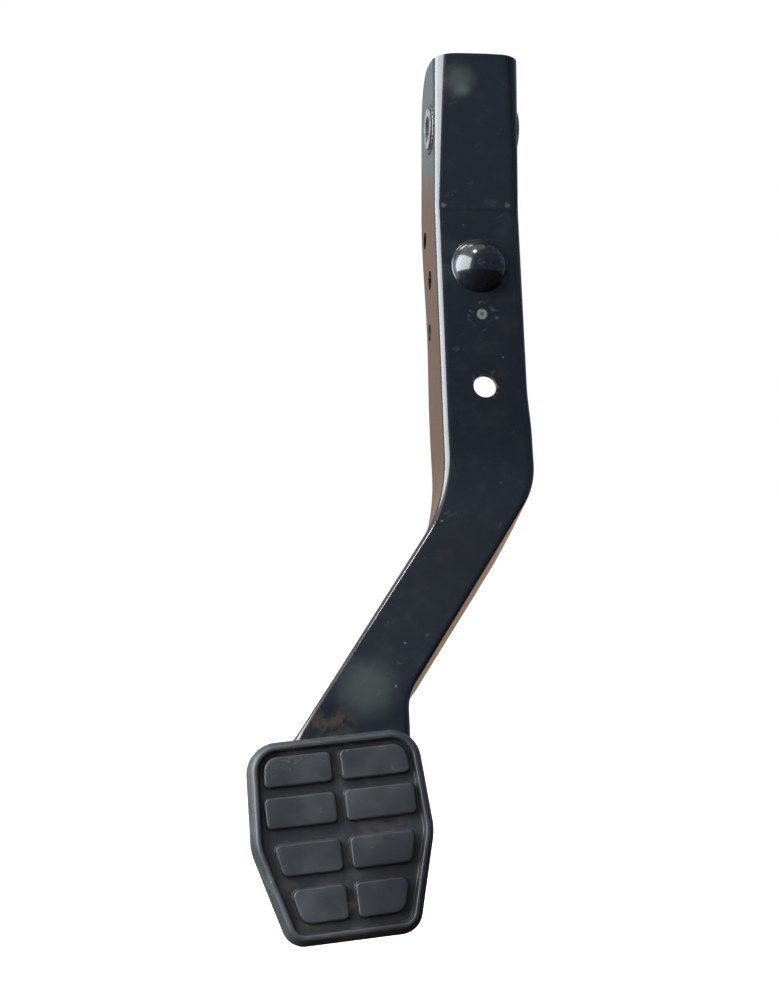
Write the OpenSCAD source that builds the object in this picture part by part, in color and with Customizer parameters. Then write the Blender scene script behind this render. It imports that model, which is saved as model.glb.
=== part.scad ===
// Hanging foot pedal for a car: a pressed steel channel arm with a rubber covered foot plate.
// The origin is the centre of the pivot. X runs along the pivot, the driver sits towards -Y and Z is up.
// A point of the arm is given by x, by its drop along the web below the pivot, and by its depth behind the web.

/* [Arm] */
// Width of the arm over its flanges, from the top to the elbow
arm_w = 33.5; // [30:0.5:38]
// Width of the slanting lower arm
low_w = 26; // [24:0.5:31]
// Thickness of the pressed steel
sheet_t = 2.5; // [2:0.1:3]
// Outer radius of the bends between web and flanges
bend_r = 5; // [4:0.25:6]
// Height of the top edge above the pivot, at the bends
top_rise = 26.2; // [25:0.1:30]
// How much higher the middle of the top edge stands
top_crown = 1.4; // [0:0.1:2]
// Distance from the face of the web back to the pivot
pivot_depth = 13.5; // [12:0.5:16]
// Reach of the rounded flange ends behind the pivot
eye_r = 22; // [19:0.5:24]
// Drop from the pivot to the crease across the web
crease_drop = 33; // [30:0.5:36]
// Angle of the crease
crease_deg = 14; // [8:1:18]
// Drop from the pivot to the middle of the forward bend at the elbow
elbow_drop = 144; // [135:1:150]
// Angle of the forward bend at the elbow
elbow_deg = 12; // [6:1:16]
// Drop from the pivot to the corner of the elbow's outline on its inner side
turn_drop = 150; // [142:1:156]
// Angle at which the lower arm slants to the side
slant_deg = 33; // [26:1:36]
// Drop from the pivot to the middle of the bend above the foot plate
ankle_drop = 232; // [228:1:234]
// Angle of the bend above the foot plate
ankle_deg = 12; // [6:1:16]
// Length of the arm behind the foot plate, below its upper edge
foot_lap = 34; // [24:1:42]
// How far the outer side of the elbow swells beyond the width of the arm
outer_bulge = 1; // [0:0.1:2]

/* [Flanges] */
// Depth of the flanges under the crease, from the face of the web
crease_depth = 35.5; // [30:0.5:37]
// Depth of the flanges at their waist, beside the holes
waist_depth = 31.5; // [29:0.5:34]
// Depth of the flanges above the elbow
elbow_depth = 34; // [30:0.5:37]
// Depth of the flanges on the lower arm
low_depth = 19; // [15:0.5:24]
// Depth of the flanges at the end of the arm
foot_depth = 9; // [7:0.5:14]

/* [Holes and dome] */
// Diameter of the hole for the clevis pin of the push rod
clevis_d = 8; // [6:0.5:9]
// Drop of the clevis pin hole
clevis_drop = 56; // [52:0.5:60]
// Depth of the clevis pin hole behind the web
clevis_depth = 19; // [17:0.5:21]
// Diameter of the two smaller holes in the flanges
side_d = 7; // [5:0.5:8]
// Drop of the upper small hole
upper_drop = 36; // [34:0.5:40]
// Depth of the upper small hole behind the web
upper_depth = 27.5; // [25:0.5:29]
// Drop of the lower small hole
lower_drop = 76; // [72:0.5:80]
// Depth of the lower small hole behind the web
lower_depth = 24.5; // [21:0.5:25]
// Diameter of the hole in the web
web_d = 9; // [7:0.5:10]
// Drop of the hole in the web
web_drop = 105.6; // [98:0.2:112]
// Diameter of the dome at its foot
dome_d = 21.5; // [18:0.5:23]
// Height of the dome above the web
dome_h = 9; // [7:0.5:10]
// Drop of the dome's centre
dome_drop = 57; // [54:0.5:60]

/* [Pivot] */
// Outside diameter of the welded pivot tube
tube_d = 17; // [16:0.5:20]
// Diameter of the hole in the pivot tube
tube_bore = 13; // [12:0.5:14]
// Length of the tube outside each flange
tube_proud = 0.5; // [0.3:0.1:2]
// Width of the weld bead round the tube
bead_w = 2; // [1:0.1:2.4]
// Radius of the beads along the arm behind the foot plate
foot_bead_r = 2.6; // [2:0.1:3]
// Gap between the tube and the flange holes
tube_gap = 0.1; // [0:0.05:0.2]
// Diameter of the bush bore for the pivot shaft
shaft_d = 10; // [8:0.5:10.5]
// Length of a bush inside the tube
bush_len = 11; // [8:0.5:14]
// Diameter of the bush flange
bush_flange_d = 16; // [14.5:0.5:16.5]
// Thickness of the bush flange
bush_flange_t = 0.6; // [0.5:0.1:1.5]

/* [Pad] */
// Width of the pad at its widest
pad_w = 64.5; // [62:0.5:68]
// Height of the pad
pad_h = 70.5; // [69:0.5:74]
// Width of the pad's outline at its top edge, before the corners are rounded
pad_top_w = 60.6; // [56:0.2:62]
// Width of the pad's outline at its bottom edge, before the corners are rounded
pad_low_w = 45.4; // [42:0.2:50]
// Height of the pad's middle above its widest place
pad_wide_y = 1.2; // [-2:0.2:4]
// Offset of the pad's middle to the left of the pivot
pad_x = 61.2; // [58:0.1:64]
// Angle at which the pad is turned on the arm
pad_roll = 5.5; // [0:0.5:8]
// Thickness of the foot plate
plate_t = 2.5; // [2:0.1:3]
// Thickness of the rubber wall round the edge of the plate
wall_t = 3.2; // [2.6:0.1:4]
// Gap between the edge of the plate and the rubber
edge_gap = 0.1; // [0:0.05:0.2]
// Thickness of the rubber over the plate
floor_t = 3; // [2.5:0.1:4]
// Height of the rim and of the blocks above the recess
rim_h = 2.8; // [2:0.1:3.5]
// Width of the rim on its face
rim_w = 2; // [1.4:0.1:2.6]
// How far the side wall leans in towards the face
flare = 1.6; // [1:0.1:2.2]
// Thickness of the lip behind the plate
lip_t = 2; // [1.6:0.1:2.6]
// Width of the lip behind the plate
lip_w = 6; // [4:0.5:8]
// Gap between the lip and the weld beads along the arm
arm_gap = 0.8; // [0.4:0.1:1.5]

/* [Blocks] */
// Half of the groove between the two columns of blocks
groove_half = 1.7; // [1.2:0.1:2.2]
// Inner corner radius of the blocks
block_r = 1.8; // [1.2:0.1:2.4]
// Radius of the outer corners of the top and bottom blocks
block_big_r = 4.6; // [3:0.1:5]
// Slope of the blocks' sides, as the inset of their faces
block_draft = 0.3; // [0.1:0.1:0.5]

/* [Hidden] */
$fn = 64;
crease_r = 12;
elbow_len = 50;
ankle_len = 24;
splay_deg = 3;
waist_drop = 77;
flank_drop = 108;
low_drop = 190;
kink_drop = 227;
inner_reach = 19;
outer_reach = 9;
kink_reach = 6;
bulge_start = 104;
bulge_end = 126;
past = 1;
crown_fade = 12;
eye_power = 2.6;
elbow_sag_drop = 140;
elbow_sag = 1.5;
foot_slope = 2;
top_corner_r = 11;
side_corner_r = 22;
low_corner_r = 8;

// Side profile of the web as runs from the top edge down: length, and bend towards the driver
crease_len = crease_r * crease_deg * PI / 180;
crease_top = crease_drop - crease_len / 2;
elbow_top = elbow_drop - elbow_len / 2;
ankle_top = ankle_drop - ankle_len / 2;
foot_drop = ankle_drop + ankle_len / 2;
foot_lean = crease_deg + elbow_deg - ankle_deg;
plate_top_drop = foot_drop + 1.5;
arm_end = plate_top_drop + foot_lap;
runs = [
    [top_rise + crease_top, 0],
    [crease_len, crease_deg],
    [elbow_top - crease_top - crease_len, 0],
    [elbow_len, elbow_deg],
    [ankle_top - elbow_top - elbow_len, 0],
    [ankle_len, -ankle_deg],
    [arm_end, 0]
];

function start_drop(i) = i == 0 ? -top_rise : start_drop(i - 1) + runs[i - 1][0];
function start_lean(i) = i == 0 ? 0 : start_lean(i - 1) + runs[i - 1][1];
function run_of(drop, i = 0) = i == len(runs) - 1 || drop < start_drop(i + 1) ? i : run_of(drop, i + 1);
function lean_after(i, u) = start_lean(i) + runs[i][1] * u / runs[i][0];
// Step along one run, as y and z
function step(i, u) =
    let (from = start_lean(i), to = lean_after(i, u))
    runs[i][1] == 0
        ? [-u * sin(from), -u * cos(from)]
        : let (r = runs[i][0] * 180 / PI / runs[i][1]) r * [cos(to) - cos(from), sin(from) - sin(to)];
function run_start(i) = i == 0 ? [-pivot_depth, top_rise] : run_start(i - 1) + step(i - 1, runs[i - 1][0]);
starts = [for (i = [0:len(runs) - 1]) run_start(i)];
function lean_at(drop) = let (i = run_of(drop)) lean_after(i, drop - start_drop(i));

// A point of the arm in space
function place(x, drop, depth) =
    let (
        i = run_of(drop),
        u = drop - start_drop(i),
        a = lean_after(i, u),
        p = starts[i] + step(i, u)
    )
    [x, p[0] + depth * cos(a), p[1] - depth * sin(a)];

// Outline of the web: the corners of its two edges as x and drop
half_w = arm_w / 2;
slope = tan(slant_deg);
turn_out_x = -half_w + low_w * cos(slant_deg);
turn_out_drop = turn_drop + low_w * sin(slant_deg) - (half_w - turn_out_x) / slope;
function left_x(drop) = -half_w - (drop - turn_drop) * slope;
function right_x(drop) = half_w - (drop - turn_out_drop) * slope;
left_kink = foot_drop + 2;
left_corners = [
    [-half_w, -top_rise], [-half_w, turn_drop], [left_x(left_kink), left_kink], [left_x(left_kink), arm_end]
];
right_corners = [
    [half_w, -top_rise], [half_w + outer_bulge, turn_out_drop - outer_bulge / slope],
    [right_x(kink_drop), kink_drop], [right_x(kink_drop), arm_end]
];

// Drops of the stations where both edges run straight down from the top
eye_stations = [for (a = [0:10:90]) -top_rise * cos(a)];
upper_stations = concat(
    eye_stations,
    [10, 20],
    [for (k = [0:4]) crease_top + crease_len * k / 4],
    [44, 54, 64, 74, 84, 94, 104, 109, 114, 120, bulge_end]
);

function unit(v) = v / norm(v);
function mix(a, b, t) = a + (b - a) * t;
function curve(a, b, c, t) = mix(mix(a, b, t), mix(b, c, t), t);
// An edge below the upper stations: a rounded corner, a straight run, a rounded kink and the end
function lower_edge(c, reach, last_reach) =
    let (
        down = unit(c[2] - c[1]),
        a = c[1] - [0, reach],
        b = c[1] + down * reach,
        d = c[2] - down * last_reach,
        e = c[2] + unit(c[3] - c[2]) * last_reach
    )
    concat(
        [for (k = [0:12]) curve(a, c[1], b, k / 12)],
        [for (k = [1:5]) mix(b, d, k / 6)],
        [for (k = [0:5]) curve(d, c[2], e, k / 5)],
        [mix(e, c[3], 0.5), c[3]]
    );
function edge(c, reach, last_reach) =
    concat(
        [for (s = upper_stations)
            [ease(c[0][0], c[1][0], min(1, max(0, (s - bulge_start) / (bulge_end - bulge_start)))), s]],
        lower_edge(c, reach, last_reach)
    );
left_edge = edge(left_corners, inner_reach, kink_reach);
right_edge = edge(right_corners, outer_reach, kink_reach);
stations = len(left_edge);

// Depth of the flanges down the arm, eased from each named depth to the next
depth_marks = [
    [0, pivot_depth + eye_r], [crease_drop, crease_depth], [waist_drop, waist_depth],
    [flank_drop, elbow_depth], [elbow_sag_drop, elbow_depth - elbow_sag], [low_drop, low_depth],
    [kink_drop, low_depth - foot_slope], [arm_end, foot_depth]
];
function ease(a, b, t) = a + (b - a) * (1 - cos(180 * t)) / 2;
function marked(drop, i = 0) =
    i == len(depth_marks) - 2 || drop < depth_marks[i + 1][0]
        ? let (m = depth_marks[i], n = depth_marks[i + 1]) ease(m[1], n[1], (drop - m[0]) / (n[0] - m[0]))
        : marked(drop, i + 1);
function flange_depth(drop) =
    drop < 0
        ? pivot_depth + eye_r * pow(max(0, 1 - pow(-drop / top_rise, eye_power)), 1 / eye_power)
        : marked(min(drop, arm_end));
function splay(drop) = splay_deg * min(1, max(0, (drop - turn_drop) / (low_drop - turn_drop)));

// One wall of the channel's section, off being its distance inside the outer face
bend_steps = 5;
function wall(w, depth, off, lean) =
    let (
        r = bend_r - off,
        out = tan(lean) * (depth - bend_r),
        arc = [for (k = [0:bend_steps]) 90 * k / bend_steps]
    )
    concat(
        [[off - out, depth]],
        [for (a = arc) [bend_r - r * cos(a), bend_r - r * sin(a)]],
        [for (k = [1:7]) [mix(bend_r, w - bend_r, k / 8), off]],
        [for (a = arc) [w - bend_r + r * sin(a), bend_r - r * cos(a)]],
        [[w - off + out, depth]]
    );
// Rise of the crowned top edge over a place across the arm, fading out below it
function crown(drop, x) =
    top_crown * (1 - pow(min(1, abs(x) / half_w), 4)) * max(0, 1 - (drop + top_rise) / crown_fade);
function section(i, off) =
    let (
        a = left_edge[i],
        b = right_edge[i],
        along = unit(b - a),
        drop = (a[1] + b[1]) / 2
    )
    [for (p = wall(norm(b - a), flange_depth(drop), off, splay(drop)))
        let (q = a + along * p[0]) place(q[0], q[1] - crown(drop, q[0]), p[1])];

// Solid between two skins of the same grid, each row a section
module between_skins(outer, inner) {
    rows = len(outer);
    cols = len(outer[0]);
    total = rows * cols;
    points = concat([for (row = outer) each row], [for (row = inner) each row]);
    quads = concat(
        [for (j = [0:rows - 2], i = [0:cols - 2])
            [j * cols + i, j * cols + i + 1, (j + 1) * cols + i + 1, (j + 1) * cols + i]],
        [for (j = [0:rows - 2], i = [0:cols - 2])
            [total + (j + 1) * cols + i, total + (j + 1) * cols + i + 1, total + j * cols + i + 1, total + j * cols + i]],
        [for (j = [0:rows - 2])
            [j * cols, (j + 1) * cols, total + (j + 1) * cols, total + j * cols]],
        [for (j = [0:rows - 2], i = cols - 1)
            [total + j * cols + i, total + (j + 1) * cols + i, (j + 1) * cols + i, j * cols + i]],
        [for (i = [0:cols - 2])
            [total + i, total + i + 1, i + 1, i]],
        [for (i = [0:cols - 2], j = (rows - 1) * cols)
            [j + i, j + i + 1, total + j + i + 1, total + j + i]]
    );
    polyhedron(points, [for (q = quads) each [[q[0], q[1], q[2]], [q[0], q[2], q[3]]]], convexity = 6);
}

// Closed solid through rings of equal count, each ring a loop of points
module skin(rings) {
    n = len(rings[0]);
    last = (len(rings) - 1) * n;
    sides = [for (j = [0:len(rings) - 2], i = [0:n - 1])
        let (k = (i + 1) % n)
        each [[j * n + i, (j + 1) * n + k, j * n + k], [j * n + i, (j + 1) * n + i, (j + 1) * n + k]]];
    ends = [[for (i = [0:n - 1]) i], [for (i = [n - 1:-1:0]) last + i]];
    polyhedron([for (ring = rings) each ring], concat(ends, sides), convexity = 6);
}

module channel() {
    between_skins(
        [for (i = [0:stations - 1]) section(i, 0)],
        [for (i = [0:stations - 1]) section(i, sheet_t)]
    );
}

// Bore along X through both flanges, centred on a place of the arm
module cross_bore(drop, depth, d) {
    translate(place(0, drop, depth)) rotate([0, 90, 0]) cylinder(h = arm_w + 2 * past, d = d, center = true);
}

// Local frame on the web's face: X as in space, Y up along the web, Z towards the driver
module on_web(x, drop) {
    translate(place(x, drop, 0)) rotate([90 - lean_at(drop), 0, 0]) children();
}

dome_r = (dome_d * dome_d / 4 + dome_h * dome_h) / (2 * dome_h);
module dome_ball(r, base_z) {
    on_web(0, dome_drop) intersection() {
        translate([0, 0, dome_h - dome_r]) sphere(r = r, $fn = 96);
        translate([-dome_r, -dome_r, base_z]) cube([2 * dome_r, 2 * dome_r, 2 * dome_r]);
    }
}

module pedal_arm() {
    color([0.06, 0.065, 0.075]) difference() {
        union() {
            channel();
            dome_ball(dome_r, -sheet_t / 2);
        }
        dome_ball(dome_r - sheet_t, -sheet_t - past);
        cross_bore(0, pivot_depth, tube_d + 2 * tube_gap);
        cross_bore(clevis_drop, clevis_depth, clevis_d);
        cross_bore(upper_drop, upper_depth, side_d);
        cross_bore(lower_drop, lower_depth, side_d);
        on_web(0, web_drop) cylinder(h = 4 * sheet_t, d = web_d, center = true);
    }
}

module pivot_tube() {
    color([0.08, 0.085, 0.09]) rotate([0, 90, 0]) difference() {
        cylinder(h = arm_w + 2 * tube_proud, d = tube_d, center = true);
        cylinder(h = arm_w + 2 * tube_proud + 2 * past, d = tube_bore, center = true);
    }
}

// Everything at one end of the pivot, side being -1 on the left and 1 on the right
module at_end(side, x) {
    translate([side * x, 0, 0]) rotate([0, side * 90, 0]) children();
}

module tube_weld(side) {
    color([0.1, 0.1, 0.105]) at_end(side, half_w) rotate_extrude() translate([tube_d / 2, 0])
        polygon([[0, 0], [bead_w, 0], [bead_w * 0.6, tube_proud * 0.7], [0, tube_proud]]);
}

module bush(side) {
    color([0.5, 0.5, 0.47]) at_end(side, half_w + tube_proud) rotate_extrude() polygon([
        [shaft_d / 2, -bush_len], [tube_bore / 2, -bush_len], [tube_bore / 2, 0],
        [bush_flange_d / 2, 0], [bush_flange_d / 2, bush_flange_t], [shaft_d / 2, bush_flange_t]
    ]);
}

// Outline of the pad: half widths down its right side, mirrored to the left
pad_corners = [
    [pad_top_w / 2, pad_h / 2, top_corner_r], [-pad_top_w / 2, pad_h / 2, top_corner_r],
    [-pad_w / 2, -pad_wide_y, side_corner_r], [-pad_low_w / 2, -pad_h / 2, low_corner_r],
    [pad_low_w / 2, -pad_h / 2, low_corner_r], [pad_w / 2, -pad_wide_y, side_corner_r]
];
pad_drop = plate_top_drop - wall_t + pad_h / 2;

// Points of a polygon moved in by inset with its corners rounded, each corner given as x, y and radius
function corner(c, i) = [c[(i + len(c)) % len(c)][0], c[(i + len(c)) % len(c)][1]];
function turned(v) = [-v[1], v[0]];
function moved_corner(c, i, inset) =
    let (
        p = corner(c, i),
        d0 = unit(p - corner(c, i - 1)),
        d1 = unit(corner(c, i + 1) - p),
        n0 = turned(d0),
        n1 = turned(d1)
    )
    p + (n0 + n1) * inset / (1 + n0 * n1);
function rounded(c, inset, steps = 6) =
    [for (i = [0:len(c) - 1])
        let (
            p = moved_corner(c, i, inset),
            d0 = unit(corner(c, i) - corner(c, i - 1)),
            d1 = unit(corner(c, i + 1) - corner(c, i)),
            turn = acos(min(1, d0 * d1)),
            r = max(0.2, c[i][2] - inset),
            mid = p - d0 * r * tan(turn / 2) + turned(d0) * r,
            from = atan2(d0[1], d0[0]) - 90
        )
        for (k = [0:steps]) mid + r * [cos(from + turn * k / steps), sin(from + turn * k / steps)]];
function level(points, z) = [for (p = points) [p[0], p[1], z]];

// Frame of the foot: X across, Y up along the plate, Z towards the driver, zero on the plate's back
module in_foot() {
    on_web(0, plate_top_drop) children();
}
module in_pad() {
    on_web(-pad_x, pad_drop) rotate([0, 0, pad_roll]) children();
}

module plate_shape(inset) {
    polygon(rounded(pad_corners, inset));
}

module foot_plate() {
    color([0.06, 0.065, 0.075]) in_pad() linear_extrude(plate_t) plate_shape(wall_t);
}

// Outline of the arm behind the plate, with a gap all round
module foot_outline(gap) {
    rows = [for (i = [0:stations - 1]) if (left_edge[i][1] > ankle_top) i];
    polygon(concat(
        [for (i = rows) [left_edge[i][0] - gap, plate_top_drop - left_edge[i][1]]],
        [[left_edge[stations - 1][0] - gap, plate_top_drop - arm_end - gap]],
        [[right_edge[stations - 1][0] + gap, plate_top_drop - arm_end - gap]],
        [for (i = [len(rows) - 1:-1:0]) [right_edge[rows[i]][0] + gap, plate_top_drop - right_edge[rows[i]][1]]]
    ));
}

// Bead along a straight line on the plate's back, from a to b
module bead(a, b, r) {
    rings = 12;
    sides = 8;
    along = unit(b - a);
    across = turned(along);
    skin([for (j = [0:rings])
        let (
            t = j / rings,
            size = r * (1 + 0.07 * sin(j * 137)) * (j == 0 || j == rings ? 0.7 : 1),
            mid = mix(a, b, t)
        )
        [for (k = [0:sides - 1])
            let (q = 360 * k / sides)
            [mid[0] + across[0] * size * cos(q), mid[1] + across[1] * size * cos(q), size * sin(q) * 0.8 - 1]]]);
}

module foot_weld() {
    l = left_edge[stations - 1][0];
    r = right_edge[stations - 1][0];
    low = plate_top_drop - arm_end;
    far = 4 * foot_bead_r;
    color([0.1, 0.1, 0.105]) difference() {
        in_foot() intersection() {
            union() {
                bead([l + 0.2, -lip_w - 2], [l + 0.2, low - 0.5], foot_bead_r);
                bead([l + 0.5, low - 0.5], [r - 0.5, low - 0.5], foot_bead_r);
                bead([r - 0.2, low - 0.5], [r - 0.2, -lip_w - 2], foot_bead_r);
            }
            translate([l - far, low - far, -far]) cube([r - l + 2 * far, foot_lap + 2 * far, far]);
        }
        channel();
    }
}

module block(corners, z0, z1) {
    skin([
        level(rounded(corners, -block_draft, 5), z0),
        level(rounded(corners, 0, 5), z1 - 0.5),
        level(rounded(corners, 0.15, 5), z1 - 0.15),
        level(rounded(corners, 0.5, 5), z1)
    ]);
}

// Rows of blocks down the pad: upper edge and lower edge above the pad's middle,
// outer half width at each, and outer corner radius at each
block_rows = [
    [29.4, 19.2, 24.6, 25.6, block_big_r, block_r],
    [15.5, 5, 26.2, 26, block_r, block_r],
    [-0.7, -11.4, 24.6, 22.2, block_r, 2.4],
    [-16.2, -27.9, 20.6, 17.4, 2.4, block_big_r]
];

// Side of the pad from its back, round its edge and over the rim down to the recess: inset and height
floor_z = plate_t + floor_t;
face_z = floor_z + rim_h;
pad_side = [
    [1.2, -lip_t], [0.35, 0.6 - lip_t], [0, 1.6 - lip_t], [0.1, 1.6], [0.5, plate_t + 1.6],
    [flare, face_z - 0.8], [flare + 0.25, face_z - 0.25], [flare + 0.8, face_z],
    [flare + rim_w - 0.5, face_z], [flare + rim_w, face_z - 0.4], [flare + rim_w + 0.4, floor_z]
];

module pedal_pad() {
    color([0.13, 0.135, 0.14]) in_pad() difference() {
        union() {
            skin([for (p = pad_side) level(rounded(pad_corners, p[0]), p[1])]);
            for (row = block_rows, side = [-1, 1])
                block(
                    side > 0
                        ? [[groove_half, row[0], block_r], [groove_half, row[1], block_r],
                            [row[3], row[1], row[5]], [row[2], row[0], row[4]]]
                        : [[-row[2], row[0], row[4]], [-row[3], row[1], row[5]],
                            [-groove_half, row[1], block_r], [-groove_half, row[0], block_r]],
                    floor_z - 0.5, face_z);
        }
        linear_extrude(plate_t) plate_shape(wall_t - edge_gap);
        translate([0, 0, -lip_t - past]) linear_extrude(lip_t + 2 * past) plate_shape(wall_t + lip_w);
        rotate([0, 0, -pad_roll]) translate([pad_x, 0, 0]) translate([0, pad_drop - plate_top_drop, -lip_t - past])
            linear_extrude(lip_t + past) foot_outline(arm_gap + foot_bead_r);
    }
}

module tube_weld_left() { tube_weld(-1); }
module tube_weld_right() { tube_weld(1); }
module bush_left() { bush(-1); }
module bush_right() { bush(1); }

pedal_arm();
foot_plate();
foot_weld();
pedal_pad();
pivot_tube();
tube_weld_left();
tube_weld_right();
bush_left();
bush_right();
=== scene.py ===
import bmesh
import bpy
import math
from mathutils import Matrix, Vector, noise


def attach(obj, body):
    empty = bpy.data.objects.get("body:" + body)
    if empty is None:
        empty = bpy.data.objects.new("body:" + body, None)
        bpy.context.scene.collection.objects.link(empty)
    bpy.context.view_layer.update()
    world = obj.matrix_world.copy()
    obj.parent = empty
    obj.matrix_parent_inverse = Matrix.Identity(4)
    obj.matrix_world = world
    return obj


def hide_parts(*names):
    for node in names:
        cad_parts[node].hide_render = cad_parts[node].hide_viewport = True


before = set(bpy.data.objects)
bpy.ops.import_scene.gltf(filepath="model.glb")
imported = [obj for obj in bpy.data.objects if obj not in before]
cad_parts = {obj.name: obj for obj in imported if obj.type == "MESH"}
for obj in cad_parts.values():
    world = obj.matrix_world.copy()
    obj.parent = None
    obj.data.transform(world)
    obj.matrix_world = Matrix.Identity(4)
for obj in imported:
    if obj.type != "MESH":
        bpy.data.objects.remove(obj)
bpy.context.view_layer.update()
print("frame loaded:", ", ".join(sorted(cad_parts)))

# Lengths in the dictionaries are in millimetres, and every finished mesh is scaled to metres
mm = 0.001


# Node trees
def add(tree, kind, sockets=None, **settings):
    node = tree.nodes.new("ShaderNode" + kind)
    for key, value in settings.items():
        setattr(node, key, value)
    for key, value in (sockets or {}).items():
        if isinstance(value, bpy.types.NodeSocket):
            tree.links.new(value, node.inputs[key])
        else:
            node.inputs[key].default_value = value
    return node


def calc(tree, operation, a, b=0.0, clamp=False):
    return add(tree, "Math", {0: a, 1: b}, operation=operation, use_clamp=clamp).outputs[0]


def blendColour(tree, factor, a, b):
    node = add(tree, "Mix", {0: factor, 6: a, 7: b}, data_type="RGBA")
    return node.outputs[2]


def newGroup(name, inputs, output):
    tree = bpy.data.node_groups.new(name, "ShaderNodeTree")
    for label, value in inputs.items():
        kind = "NodeSocketVector" if value is None else "NodeSocketFloat"
        socket = tree.interface.new_socket(label, in_out="INPUT", socket_type=kind)
        if value is not None:
            socket.default_value = value
    tree.interface.new_socket(output, in_out="OUTPUT", socket_type="NodeSocketFloat")
    given = tree.nodes.new("NodeGroupInput").outputs
    result = tree.nodes.new("NodeGroupOutput").inputs
    return tree, given, result


def makeSpeckle():
    # Broken patches of noise, for dust, dirt and an uneven gloss
    tree, given, result = newGroup(
        "speckle", {"Vector": None, "Scale": 40.0, "Detail": 4.0, "From": 0.5, "To": 0.7}, "Mask"
    )
    cloud = add(
        tree, "TexNoise",
        {"Vector": given["Vector"], "Scale": given["Scale"], "Detail": given["Detail"], "Roughness": 0.6},
    )
    mask = add(
        tree, "MapRange",
        {"Value": cloud.outputs["Fac"], "From Min": given["From"], "From Max": given["To"]},
        interpolation_type="SMOOTHSTEP",
    )
    tree.links.new(mask.outputs["Result"], result["Mask"])
    return tree


def makeScratches():
    # Thin lines: noise pulled long and cut to a narrow band, present only in places
    tree, given, result = newGroup(
        "scratches",
        {"Vector": None, "Scale": 30.0, "Stretch": 0.04, "Turn": 0.4, "Width": 0.012, "Share": 0.55}, "Mask",
    )
    turn = add(tree, "VectorRotate", {"Vector": given["Vector"], "Angle": given["Turn"]}, rotation_type="Y_AXIS")
    pull = add(tree, "CombineXYZ", {0: given["Stretch"], 1: 1.0, 2: 1.0})
    pulled = add(tree, "VectorMath", {0: turn.outputs[0], 1: pull.outputs[0]}, operation="MULTIPLY")
    lines = add(tree, "TexNoise", {"Vector": pulled.outputs[0], "Scale": given["Scale"], "Detail": 2.0})
    gap = calc(tree, "ABSOLUTE", calc(tree, "SUBTRACT", lines.outputs["Fac"], 0.5))
    thin = add(
        tree, "MapRange", {"Value": gap, "From Min": 0.0, "From Max": given["Width"], "To Min": 1.0, "To Max": 0.0}
    )
    places = add(tree, "TexNoise", {"Vector": given["Vector"], "Scale": calc(tree, "MULTIPLY", given["Scale"], 1.7)})
    shown = calc(tree, "GREATER_THAN", places.outputs["Fac"], given["Share"])
    tree.links.new(calc(tree, "MULTIPLY", thin.outputs["Result"], shown), result["Mask"])
    return tree


def makeEdgeWear():
    # Sharp convex edges, broken up by noise
    tree, given, result = newGroup("edgeWear", {"Vector": None, "From": 0.52, "To": 0.6, "Breakup": 300.0}, "Mask")
    shape = add(tree, "NewGeometry")
    sharp = add(
        tree, "MapRange",
        {"Value": shape.outputs["Pointiness"], "From Min": given["From"], "From Max": given["To"]},
    )
    grit = add(tree, "TexNoise", {"Vector": given["Vector"], "Scale": given["Breakup"], "Detail": 3.0})
    broken = add(tree, "MapRange", {"Value": grit.outputs["Fac"], "From Min": 0.45, "From Max": 0.62})
    tree.links.new(calc(tree, "MULTIPLY", sharp.outputs["Result"], broken.outputs["Result"]), result["Mask"])
    return tree


def makeSpot():
    # A round or stretched mark about the middle of a local frame, with a ragged border
    tree, given, result = newGroup(
        "spot", {"Vector": None, "Inner": 1.0, "Outer": 2.0, "Ragged": 0.5, "Grit": 0.6}, "Mask"
    )
    flat = add(tree, "VectorMath", {0: given["Vector"], 1: (1.0, 1.0, 0.25)}, operation="MULTIPLY")
    reach = add(tree, "VectorMath", {0: flat.outputs[0]}, operation="LENGTH").outputs["Value"]
    grit = add(tree, "TexNoise", {"Vector": given["Vector"], "Scale": given["Grit"], "Detail": 4.0})
    shift = calc(tree, "MULTIPLY", calc(tree, "SUBTRACT", grit.outputs["Fac"], 0.5), given["Ragged"])
    mask = add(
        tree, "MapRange",
        {"Value": calc(tree, "ADD", reach, shift), "From Min": given["Inner"], "From Max": given["Outer"],
            "To Min": 1.0, "To Max": 0.0},
        interpolation_type="SMOOTHSTEP",
    )
    tree.links.new(mask.outputs["Result"], result["Mask"])
    return tree


def makeGrain():
    # Fine unevenness of a coated or moulded surface over a slow waviness
    tree, given, result = newGroup(
        "grain", {"Vector": None, "Fine": 900.0, "Fine Share": 0.5, "Slow": 60.0, "Slow Share": 0.5}, "Height"
    )
    fine = add(tree, "TexNoise", {"Vector": given["Vector"], "Scale": given["Fine"], "Detail": 2.0})
    slow = add(tree, "TexNoise", {"Vector": given["Vector"], "Scale": given["Slow"], "Detail": 1.0})
    height = calc(
        tree, "ADD",
        calc(tree, "MULTIPLY", fine.outputs["Fac"], given["Fine Share"]),
        calc(tree, "MULTIPLY", slow.outputs["Fac"], given["Slow Share"]),
    )
    tree.links.new(height, result["Height"])
    return tree


speckle = makeSpeckle()
scratches = makeScratches()
edgeWear = makeEdgeWear()
spot = makeSpot()
grain = makeGrain()


def startMaterial(name):
    material = bpy.data.materials.new(name)
    material.use_nodes = True
    tree = material.node_tree
    shader = tree.nodes["Principled BSDF"]
    place = add(tree, "TexCoord").outputs["Object"]
    return material, tree, shader, place


def localFrame(tree, place, matrix):
    # Millimetres in the frame of a part of the surface
    return add(
        tree, "Mapping",
        {"Vector": place, "Location": matrix.to_translation() * mm, "Rotation": matrix.to_euler(),
            "Scale": (mm, mm, mm)},
        vector_type="TEXTURE",
    ).outputs[0]


def mark(tree, group, sockets):
    return add(tree, "Group", sockets, node_tree=group).outputs[0]


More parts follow.
